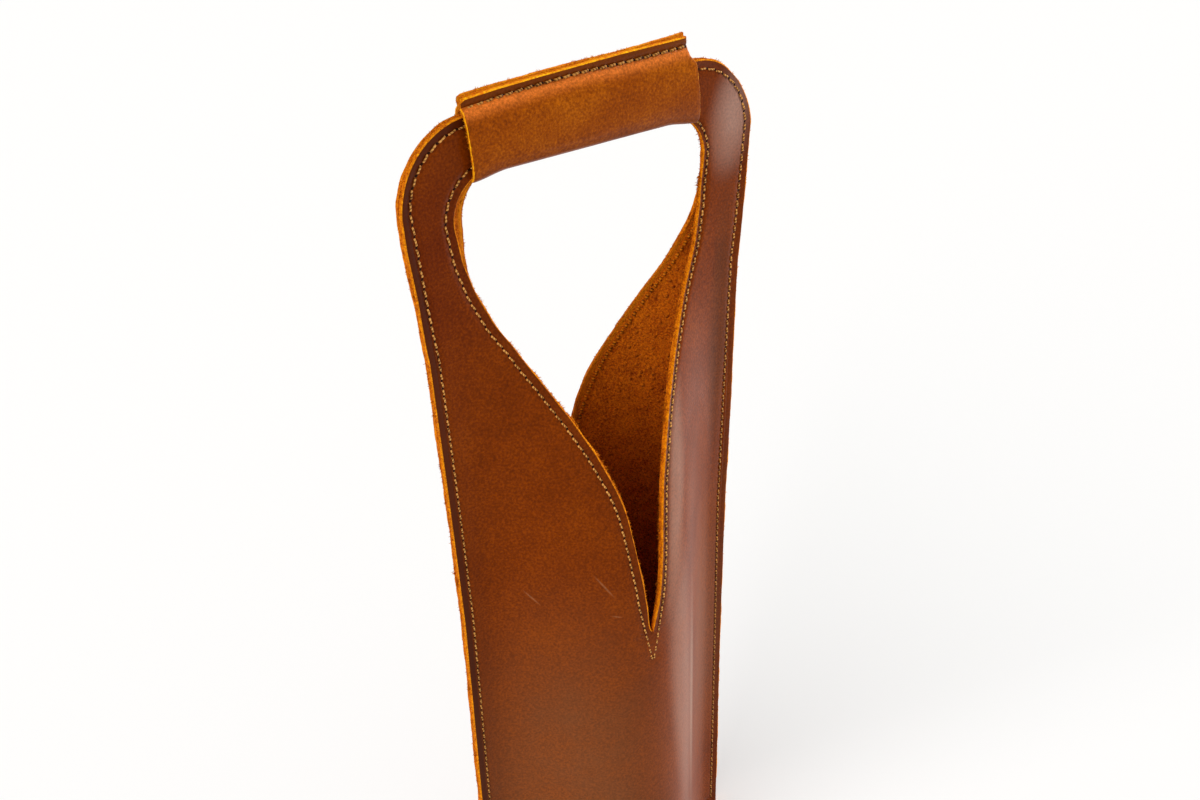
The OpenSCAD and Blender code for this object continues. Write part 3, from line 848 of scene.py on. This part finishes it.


# %% [markdown]
# The seam of the sleeve presses the grain in, and the bend below it pulls the leather, which turns it pale;
# part of that paleness is a painted highlight where the shoulder faces the light. Both depend only on the
# distance from the seam, so they are bells of that distance.

# %% A folded sheet


def folded_sheet(name, path, along, shift, hem, materials, seed):
    """Sheet over rows of (y, z) paths. along is each row's x, shift gives how far a point at (x, y, z)
    moves in x, and hem is each row's width from the raw edge to the seam, or 0 for a sheet without a seam
    on its grain."""
    rows = len(path)
    steps = np.linalg.norm(np.diff(path, axis=1), axis=2)
    length = np.concatenate([np.zeros((rows, 1)), np.cumsum(steps, axis=1)], axis=1)
    tangent = unit(np.gradient(path, axis=1))
    span = length[:, -1:]
    place, level, kind = section_loop(length[:, -1], np.ones(rows), middle=40)
    columns = len(level)
    gap = np.minimum(along - along[0], along[-1] - along)
    squeeze = np.interp(gap, np.append(END_GAP[1:], 0.5), np.append(END_SQUEEZE[1:], 1.0))
    squeeze[[0, -1]] = 0

    # Pressed in by the seam; pale over the shoulder below it, pulled and partly a painted highlight; darker
    # on the flap, burnished and partly painted shade; and painted shade at the fold
    inward = np.minimum(place, span - place)
    from_seam = np.where(hem[:, None] > 0, inward - hem[:, None], 99.0)
    sunk = np.where(level > 0.5, 0.45 * np.exp(-((from_seam / 1.3) ** 2)), 0)
    pulled_and_lit = 0.75 * np.exp(-(((from_seam - 3.2) / 1.9) ** 2))
    burnished_and_shaded = 0.62 * smooth((0.8 - from_seam) / 1.4)
    # Painted shade along the fold under the handle
    if hem[0] > 0:
        burnished_and_shaded = np.maximum(burnished_and_shaded, 0.45 * np.exp(-(((inward - span / 2) / 4) ** 2)))

    # The height over the suede side goes out square to the path, and the cuts are ragged by 0.1 mm
    height = (LEATHER * (level - 0.5) - sunk) * squeeze[:, None] + LEATHER / 2
    fringe = ragged(rows, columns, seed, 0.1)
    end_fringe = (gap < 0.3)[:, None] * np.roll(fringe, 1, 1)
    y, z, ty, tz = (read_rows(place, length, v[..., k]) for v in (path, tangent) for k in (0, 1))
    size = np.hypot(ty, tz)
    y, z = y + tz / size * height, z - ty / size * height + fringe * ((level > 0) & (level < 1))
    x = along[:, None] + shift(along[:, None], y, z) + end_fringe
    grid = np.stack([x, y, z], -1)
    if hem[0] > 0:
        sleeve_tufts(name, grid, materials[RAW], seed)

    # On the ends of the flaps the pale line under the grain is left out
    quads, kinds = grid_faces(rows, columns), np.tile(kind, rows - 1)
    kinds[np.repeat((gap[:-1] < 0.3) & (gap[1:] < 0.3), columns)] = RAW
    attributes = {
        "from_edge": np.minimum(inward, gap[:, None]),
        "level": np.where((gap[:, None] < 0.6) & (from_seam < 0), 0.0, level),
        "pulled_and_lit": pulled_and_lit,
        "burnished_and_shaded": burnished_and_shaded,
    }
    return make_leather(name, grid, quads, kinds, materials, attributes)


# %% [markdown]
# ## The handle sleeve
# A strip 66 mm wide is folded up round the handle, and its two flaps are sewn together above it as a fin.
# The flaps are cut after sewing, by hand, so the fin is lower at the left end. The fold is round and the
# faces are full, because the leather doesn't want to bend.

# %% Sizes along the sleeve
SLEEVE_LEFT, SLEEVE_LENGTH = -56.0, 107.0
BOW_AT, SEAM_BOW = [0, 0.15, 0.33, 0.5, 0.67, 1], [-0.5, 0.8, 1.5, 1.8, 1.2, 1.2]
sleeve_x = row_places(SLEEVE_LEFT, SLEEVE_LENGTH, 72)
along_sleeve = (sleeve_x - SLEEVE_LEFT) / SLEEVE_LENGTH
from_end = np.minimum(sleeve_x - SLEEVE_LEFT, SLEEVE_LEFT + SLEEVE_LENGTH - sleeve_x)
fold_lift = 1.9 * smooth(from_end / 16)


def fin_seam(x):
    """Height of the seam through both flaps: a line that rises by 2.9 mm to the right, bowed up midway."""
    share = (x - SLEEVE_LEFT) / SLEEVE_LENGTH
    return 417.7 + 2.9 * share + np.interp(share, BOW_AT, SEAM_BOW)


def flap_top(low, rise, bow):
    """Height of a flap's raw edge: a bowed line from low at its left end, with 1.2 mm off that corner."""
    corner_cut = 1.2 * np.clip(1 - (sleeve_x - SLEEVE_LEFT) / 2.5, 0, 1) ** 2
    return low + rise * along_sleeve - corner_cut + np.interp(along_sleeve, BOW_AT, bow)


def sleeve_shift(x, y, z):
    """Both ends lean to the left with height and to the right with depth, because the strip was folded
    askew. At the right the fin is cut 2.7 mm shorter."""
    return 1.2 - 0.09 * (z - 390) + 0.2 * (y + 6) - 2.7 * smooth((z - 415) / 4) * smooth((x - 38) / 14)


sleeve_seam = fin_seam(sleeve_x)
front_flap = flap_top(421.0, 3.3, [0, 0.8, 1.2, 1.4, 1.6, 1.2])
back_flap = flap_top(421.7, 3.7, [0.3, 0.8, 1.0, 1.0, 0.6, 1.2])
print("the fin's seam stands", (front_flap - sleeve_seam).min().round(1), "mm or more under its edge")

# %% [markdown]
# Each half of the sleeve is a path from its raw edge through the seam, over the shoulder and down to the
# fold. Its points stand at fixed heights, apart from those that follow the seam, which is what keeps the
# shoulder the same under a slanting fin.

# %% Sleeve


def sleeve_half(flap):
    """Suede side of one half as (y, z) for each row, from the raw edge of the flap down to the fold."""
    drop = sleeve_seam - 414.6
    points = [
        (0.03, flap), (0.03, 0.5 * (flap + sleeve_seam)), (0.03, sleeve_seam),
        (0.5, sleeve_seam - 0.2 * drop), (1.7, sleeve_seam - 0.46 * drop), (2.9, sleeve_seam - 0.82 * drop),
        (3.6, 412.2), (3.9, 408.5), (4.1, 403.8), (3.95, 399.2 + 0.4 * fold_lift),
        (3.4, 395.0 + 0.8 * fold_lift), (2.0, 392.5 + fold_lift), (0, 391.85 + fold_lift),
    ]
    same = np.ones_like(sleeve_x)
    return np.stack([np.stack([-y * same, z * same], -1) for y, z in points], 1)


back_half = sleeve_half(back_flap)[:, -2::-1] * [-1, 1]
sleeve_path = smooth_path(np.concatenate([sleeve_half(front_flap), back_half], axis=1), passes=40)
print("the strip is", round(run_length(sleeve_path[len(sleeve_x) // 2])[-1]), "mm wide")
sleeve = folded_sheet(
    "handle_sleeve_leather", sleeve_path, sleeve_x, sleeve_shift,
    front_flap - sleeve_seam, [sleeve_grain, pale_edge, suede], 21,
)
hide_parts("handle_sleeve")

# %% [markdown]
# ## The base
# The base is a lens of leather whose rim is turned down and sewn inside the foot of the panels, flesh side
# to flesh side. From below it is a shallow tray with the grain outwards, and inside it is the suede floor,
# 12 mm above the foot.

# %% Base
base_x = row_places(-53.0, 106.0, 60)
base_y = depth(base_x, 0 * base_x, FRONT) - 0.35
rim_and_floor = [(-1, 0), (-1, 4), (-1, 8.5), (-1, 11.7), (-0.86, 12), (-0.5, 12), (0, 12)]
base_half = np.stack([np.stack([share * base_y, z + 0 * base_y], -1) for share, z in rim_and_floor], 1)
base_path = smooth_path(np.concatenate([base_half, base_half[:, -2::-1] * [-1, 1]], axis=1), passes=24)
base = folded_sheet(
    "base_leather_tray", base_path, base_x, lambda x, y, z: 0 * z,
    0 * base_x, [panel_grain, raw_edge, suede], 31,
)
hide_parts("base_leather")

# %% [markdown]
# ## Thread
# The seams are sewn with bonded nylon thread, waxed and gold. It is 0.6 mm thick, and drawn 0.76 mm thick,
# as its wax makes it look. Each stitch comes up out of one hole, lies slightly slanted on the leather and
# dives into the next, so it catches the light at its upper end. The awl leaves a slit of crushed leather
# at each hole, painted nearly black for the shade inside it.

# %% Thread materials
PLY = 1.35


def thread_material(name, dark, light):
    """Nylon with plies 1.35 mm apart, drawn twice as coarse as the real ones so that they show."""
    material, tree, place = new_material(name)
    own = add(tree, "ShaderNodeUVMap", uv_map="thread_map").outputs["UV"]
    sockets = {"Vector": own, "Scale": math.pi / 5 / PLY}
    plies = add(tree, "ShaderNodeTexWave", sockets, bands_direction="DIAGONAL")
    tint = add(tree, "ShaderNodeTexNoise", {"Vector": place, "Scale": per_mm(9)})
    mixed = add(tree, "ShaderNodeMix", {"Factor": 0.6, "A": plies.outputs["Fac"], "B": tint.outputs["Fac"]})
    tone = add(tree, "ShaderNodeValToRGB", {"Fac": mixed.outputs["Result"]})
    ends = tone.color_ramp.elements
    ends[0].position, ends[1].position = 0.25, 0.7
    ends[0].color, ends[1].color = linear(dark), linear(light)
    sockets = {"Height": plies.outputs["Fac"], "Strength": 0.5, "Distance": 0.08 * MM}
    bump = add(tree, "ShaderNodeBump", sockets)
    wax = add(tree, "ShaderNodeBsdfPrincipled", {
        "Base Color": tone.outputs["Color"], "Normal": bump.outputs["Normal"], "Roughness": 0.4, "IOR": 1.53,
        "Specular IOR Level": 0.12, "Specular Tint": (1.0, 0.8, 0.5, 1.0),
    })
    add(tree, "ShaderNodeOutputMaterial", {"Surface": wax.outputs["BSDF"]})
    return material


def hole_material():
    """Painted shade of an awl hole: near-black crushed leather, a little brown by noise of 0.5 mm."""
    material, tree, place = new_material("awl_hole_painted_shade")
    noise = add(tree, "ShaderNodeTexNoise", {"Vector": place, "Scale": per_mm(0.5)})
    tone = add(tree, "ShaderNodeValToRGB", {"Fac": noise.outputs["Fac"]})
    ends = tone.color_ramp.elements
    ends[0].color, ends[1].color = linear("#0d0401"), linear("#331604")
    sockets = {"Base Color": tone.outputs["Color"], "Roughness": 0.8, "Specular IOR Level": 0.1}
    skin = add(tree, "ShaderNodeBsdfPrincipled", sockets)
    add(tree, "ShaderNodeOutputMaterial", {"Surface": skin.outputs["BSDF"]})
    return material


gold_thread = thread_material("waxed_bonded_thread", "#5e3410", "#eeaa56")
# The same thread painted darker, as shade in the groove of the fin
shaded_sleeve_thread = thread_material("waxed_bonded_thread_painted_shaded", "#4e2a0c", "#c88a40")
nap_thread = thread_material("thread_under_loose_nap", "#4c1c00", "#d0740e")
# Near-black lenses at the holes: painted shade
painted_hole_shade = hole_material()
print("thread materials", gold_thread.name, shaded_sleeve_thread.name, nap_thread.name, painted_hole_shade.name)

# %% [markdown]
# A stitch is a tube of nine rings that comes up, lies on the leather and dives again. Copies of one stitch
# along a curve would all be alike and would cut the corners, so each one's rings are placed by their own
# lengths along the path. An awl hole is a small closed lens across the seam, painted nearly black as the
# shade in the hole.

# %% One stitch and one hole
RADIUS, RING_SIDES, RIM_SIDES = 0.38, 6, 8
ALONG = np.array([0.0, 0.03, 0.12, 0.3, 0.52, 0.74, 0.9, 0.97, 1.0])
RISE = np.array([-0.6, -0.15, 0.2, 0.32, 0.3, 0.3, 0.14, -0.2, -0.6])
GIRTH = np.array([0.5, 0.85, 1.08, 1.08, 0.86, 1.06, 1.02, 0.8, 0.45])
RING_ANGLE = 2 * np.pi * np.arange(RING_SIDES) / RING_SIDES
RIM_ANGLE = 2 * np.pi * np.arange(RIM_SIDES) / RIM_SIDES

PER_STITCH, PER_HOLE = len(ALONG) * RING_SIDES, RIM_SIDES + 2
cap = np.array([[3, 2, 1, 0], [5, 4, 3, 0]])
end_cap = PER_STITCH - RING_SIDES + cap[:, ::-1]
STITCH_FACES = np.concatenate([grid_faces(len(ALONG), RING_SIDES), cap, end_cap])
rim_from = np.arange(RIM_SIDES)
rim_to = (rim_from + 1) % RIM_SIDES
HOLE_FACES = np.concatenate([
    np.stack([rim_from, rim_to, np.full(RIM_SIDES, RIM_SIDES)], -1),
    np.stack([rim_to, rim_from, np.full(RIM_SIDES, RIM_SIDES + 1)], -1),
])


def compass(s, length, path, out):
    """Place, way along, way out and way aside at lengths s of a path."""
    along = unit(read_at(s, length, np.gradient(path, axis=0)))
    away = unit(read_at(s, length, out))
    return read_at(s, length, path), along, away, unit(np.cross(along, away))


def stitch_tubes(place, along, away, aside, girth):
    """Rings of every stitch: lifted by RISE, as thick as GIRTH says, and slanted by 0.2 mm to each side."""
    centre = place + away * RISE[:, None] + aside * (0.2 * (1 - 2 * ALONG))[:, None]
    ring = aside[..., None, :] * np.cos(RING_ANGLE)[:, None]
    ring = ring + away[..., None, :] * np.sin(RING_ANGLE)[:, None]
    return centre[..., None, :] + girth * RADIUS * GIRTH[:, None, None] * ring


def awl_holes(place, along, away, aside):
    """Every hole: an oval rim that leans along the seam, then a point just over it and one under it."""
    leaning = (aside + 0.35 * along)[:, None]
    rim = leaning * (0.66 * np.cos(RIM_ANGLE))[:, None] + along[:, None] * (0.5 * np.sin(RIM_ANGLE))[:, None]
    over, under = place + 0.07 * away, place - 0.2 * away
    return np.concatenate([place[:, None] + rim, over[:, None], under[:, None]], axis=1)


print("points in a stitch", PER_STITCH, "and in a hole", PER_HOLE)

# %% [markdown]
# A seam is made as one array: every stitch has the same rings of points, placed along its own stretch of
# the path. The maker's stitches are longest round the head, about 4.5 mm, and shortest beside the bottle.

# %% Stitches along a path


def seam(name, node, path, out, pitch, thread=gold_thread, girth=1.0):
    """Stitches and needle holes on a dense path of surface points. out is the surface's direction at each,
    and pitch is the length of a stitch there."""
    length = run_length(path)
    steps = np.linalg.norm(np.diff(path, axis=0), axis=1)
    stitch_number = np.concatenate([[0], np.cumsum(steps / pitch[:-1])])
    count = int(round(stitch_number[-1]))
    marks = np.interp(np.linspace(0, stitch_number[-1], count + 1), stitch_number, length)
    s = marks[:-1, None] + np.diff(marks)[:, None] * (0.12 + 0.76 * ALONG)
    tubes = stitch_tubes(*compass(s, length, path, out), girth).reshape(-1, 3)
    holes = awl_holes(*compass(marks, length, path, out)).reshape(-1, 3)
    quads = (np.arange(count)[:, None, None] * PER_STITCH + STITCH_FACES).reshape(-1, 4)
    triangles = len(tubes) + (np.arange(count + 1)[:, None, None] * PER_HOLE + HOLE_FACES).reshape(-1, 3)
    kinds = np.repeat([0, 1], [len(quads), len(triangles)])
    piece = make_piece(name, np.concatenate([tubes, holes]), quads, triangles, kinds, [thread, painted_hole_shade], {})

    # The thread's own map in mm: along it, and round it so that one turn is one ply
    own = np.zeros((len(tubes) + len(holes), 2))
    own[: len(tubes), 0] = np.repeat(s.reshape(-1), RING_SIDES)
    own[: len(tubes), 1] = np.tile(RING_ANGLE / (2 * np.pi) * PLY, s.size)
    corner = np.empty(len(piece.data.loops), np.int32)
    piece.data.loops.foreach_get("vertex_index", corner)
    layer = piece.data.uv_layers.new(name="thread_map")
    layer.data.foreach_set("uv", own[corner].astype(np.float32).reshape(-1))
    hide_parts(node)


def on_panel(path, level, panel):
    """Points at a level above the suede of a panel, and the outward direction, for a path of (x, z)."""
    inside, out = surface(path[:, 0], path[:, 1], panel)
    mirror = np.array([1, panel.mirror, 1])
    return (inside + level * out) * mirror, out * mirror


# %% [markdown]
# On the grain the thread lies in the trough that it has pressed. On the flesh side it sinks into the nap,
# so that only its back shows, drawn thick and dull. Beside the mouth, the stitches on the left are longer.

# %% Seams of the panels
GRAIN_LEVEL, FLESH_LEVEL, LOPSIDED = LEATHER - 0.5, 0.12, 0.35
outer_pitch = 3.4 + 1.1 * smooth((OUTER_SEAM[:, 1] - 325) / 65)
for panel, name, thread in ((FRONT, "front", "needle"), (BACK, "back", "bobbin")):
    points, out = on_panel(OUTER_SEAM, GRAIN_LEVEL, panel)
    seam(f"outer_seam_{name}_stitches", f"outer_seam_{thread}_thread", points, out, outer_pitch)

    path = mouth_seam(panel)
    points, out = on_panel(path, GRAIN_LEVEL, panel)
    pitch = 3.7 + 0.4 * smooth((path[:, 1] - 340) / 40) + LOPSIDED * np.sign(-path[:, 0])
    seam(f"{name}_mouth_outside_stitches", f"{name}_mouth_needle_thread", points, out, pitch)

    arms = [mouth_side(panel, side) for side in (-1, 1)]
    arms = [arm[arm[:, 1] < panel.inner_top] for arm in arms]
    path = dense(np.concatenate([arms[0][::-1], arms[1]]))
    points, out = on_panel(path, FLESH_LEVEL, panel)
    pitch = 3.7 + LOPSIDED * np.sign(-path[:, 0])
    names = f"{name}_mouth_inside_stitches", f"{name}_mouth_bobbin_thread"
    seam(*names, points, -out, pitch, nap_thread, 2.0)

# %% [markdown]
# The handle's seam goes through both flaps, just above the strip. It lies deep in its groove, so it is
# drawn a third thicker, and its thread is painted darker as the shade of the groove. The base's seam goes
# through each panel and the rim behind it.

# %% Seams of the handle and the base
run_x = np.linspace(-54.6, 49.9, 220)
run_z = fin_seam(run_x) + 0.1
for side, name, thread in ((-1, "front", "needle"), (1, "back", "bobbin")):
    run_y = np.full(len(run_x), 1.95 * side)
    path = np.stack([run_x + sleeve_shift(run_x, run_y, run_z), run_y, run_z], -1)
    out = np.tile([0, side, 0.3], (len(run_x), 1))
    names = f"handle_seam_{name}_stitches", f"handle_seam_{thread}_thread"
    seam(*names, path, out, np.full(len(run_x), 4.2), shaded_sleeve_thread, 1.35)

RIM_LEVEL = -0.35 - LEATHER + 0.1
rim_run = BASE_SEAM[np.abs(BASE_SEAM[:, 0]) < 46]
for panel, name in ((FRONT, "front"), (BACK, "back")):
    points, out = on_panel(BASE_SEAM, GRAIN_LEVEL, panel)
    seam(f"base_seam_outside_{name}", "base_seam_needle_thread", points, out, np.full(len(points), 3.6))
    points, out = on_panel(rim_run, RIM_LEVEL, panel)
    names = f"base_seam_inside_{name}", "base_seam_bobbin_thread"
    seam(*names, points, -out, np.full(len(points), 3.6), nap_thread, 1.5)

# %% [markdown]
# ## Studio
# The carrier stands on a white sweep between two softboxes, so that its sides are lighter than its flat
# middle. The background's white is a colour that the camera and shiny surfaces see, and lights no leather.

# %% Floor and world


def seen_directly(tree):
    """1 for the camera's, mirrored and refracted rays, and 0 for the rays that light the object."""
    ray = add(tree, "ShaderNodeLightPath").outputs
    seen = ray["Is Camera Ray"]
    for other in ("Is Glossy Ray", "Is Transmission Ray"):
        seen = add(tree, "ShaderNodeMath", {0: seen, 1: ray[other]}, operation="MAXIMUM").outputs[0]
    return seen


sweep, tree, _ = new_material("white_studio_sweep")
matt = add(tree, "ShaderNodeBsdfDiffuse", {"Color": (0.8, 0.8, 0.8, 1)})
glow = add(tree, "ShaderNodeEmission", {"Color": (1, 1, 1, 1), "Strength": 0.14})
shown = add(tree, "ShaderNodeMixShader", {0: seen_directly(tree), 2: glow.outputs[0]})
total = add(tree, "ShaderNodeAddShader", {0: matt.outputs[0], 1: shown.outputs[0]})
add(tree, "ShaderNodeOutputMaterial", {"Surface": total.outputs[0]})
floor_mesh = bpy.data.meshes.new("floor")
floor_mesh.from_pydata([(-8, -8, 0), (8, -8, 0), (8, 8, 0), (-8, 8, 0)], [], [(0, 1, 2, 3)])
floor_mesh.materials.append(sweep)
floor = bpy.data.objects.new("floor", floor_mesh)
bpy.context.scene.collection.objects.link(floor)

world = bpy.data.worlds.new("studio")
world.use_nodes = True
world.node_tree.nodes.clear()
tree = world.node_tree
fill = add(tree, "ShaderNodeBackground", {"Color": (1, 1, 1, 1), "Strength": 0.31})
white = add(tree, "ShaderNodeBackground", {"Color": (1, 1, 1, 1), "Strength": 1.0})
chosen = add(tree, "ShaderNodeMixShader", {0: seen_directly(tree), 1: fill.outputs[0], 2: white.outputs[0]})
add(tree, "ShaderNodeOutputWorld", {"Surface": chosen.outputs[0]})
bpy.context.scene.world = world
print("floor", floor.name, "world", world.name)

# %% [markdown]
# Waxed leather mirrors whatever is pale round it, most of all where it is seen at a flat angle. The sheen
# on the right side is in part such a mirror image of the white floor, and of a card that lies there, and in
# part a painted reflection in the leather's colour. The two softboxes are suns with a wide disc, so their
# light is the same all over the carrier. The card lights shiny surfaces only.

# %% Lamps


def place_lamp(data, place, target):
    """Puts a lamp at a place, turned to a target, both in metres."""
    light = bpy.data.objects.new(data.name, data)
    aim = (Vector(target) - Vector(place)).to_track_quat("-Z", "Y")
    light.matrix_world = Matrix.Translation(place) @ aim.to_matrix().to_4x4()
    bpy.context.scene.collection.objects.link(light)
    return light


for name, energy, across in (("left_softbox", 1.82, -1.7), ("right_softbox", 3.0, 1.7)):
    softbox = bpy.data.lights.new(name, "SUN")
    softbox.energy, softbox.angle, softbox.color = energy, math.radians(45), (1, 0.99, 0.97)
    place_lamp(softbox, (across, -0.3, 1.0), (0, 0, 0))
card = bpy.data.lights.new("white_card", "AREA")
card.shape, card.size, card.size_y, card.energy = "RECTANGLE", 1.3, 0.6, 4.5
card_light = place_lamp(card, (0.9, -0.5, 0.002), (0.9, -0.5, 1.0))
card_light.rotation_euler = (math.pi, 0, math.radians(-46))
card_light.visible_camera = card_light.visible_diffuse = False
print("lamps", [light.name for light in bpy.data.lights])

# %% [markdown]
# ## The colour view
# The picture is shown without a film curve, so that the colours stay the ones that were chosen.

# %% View transform
bpy.context.scene.view_settings.view_transform = "Standard"
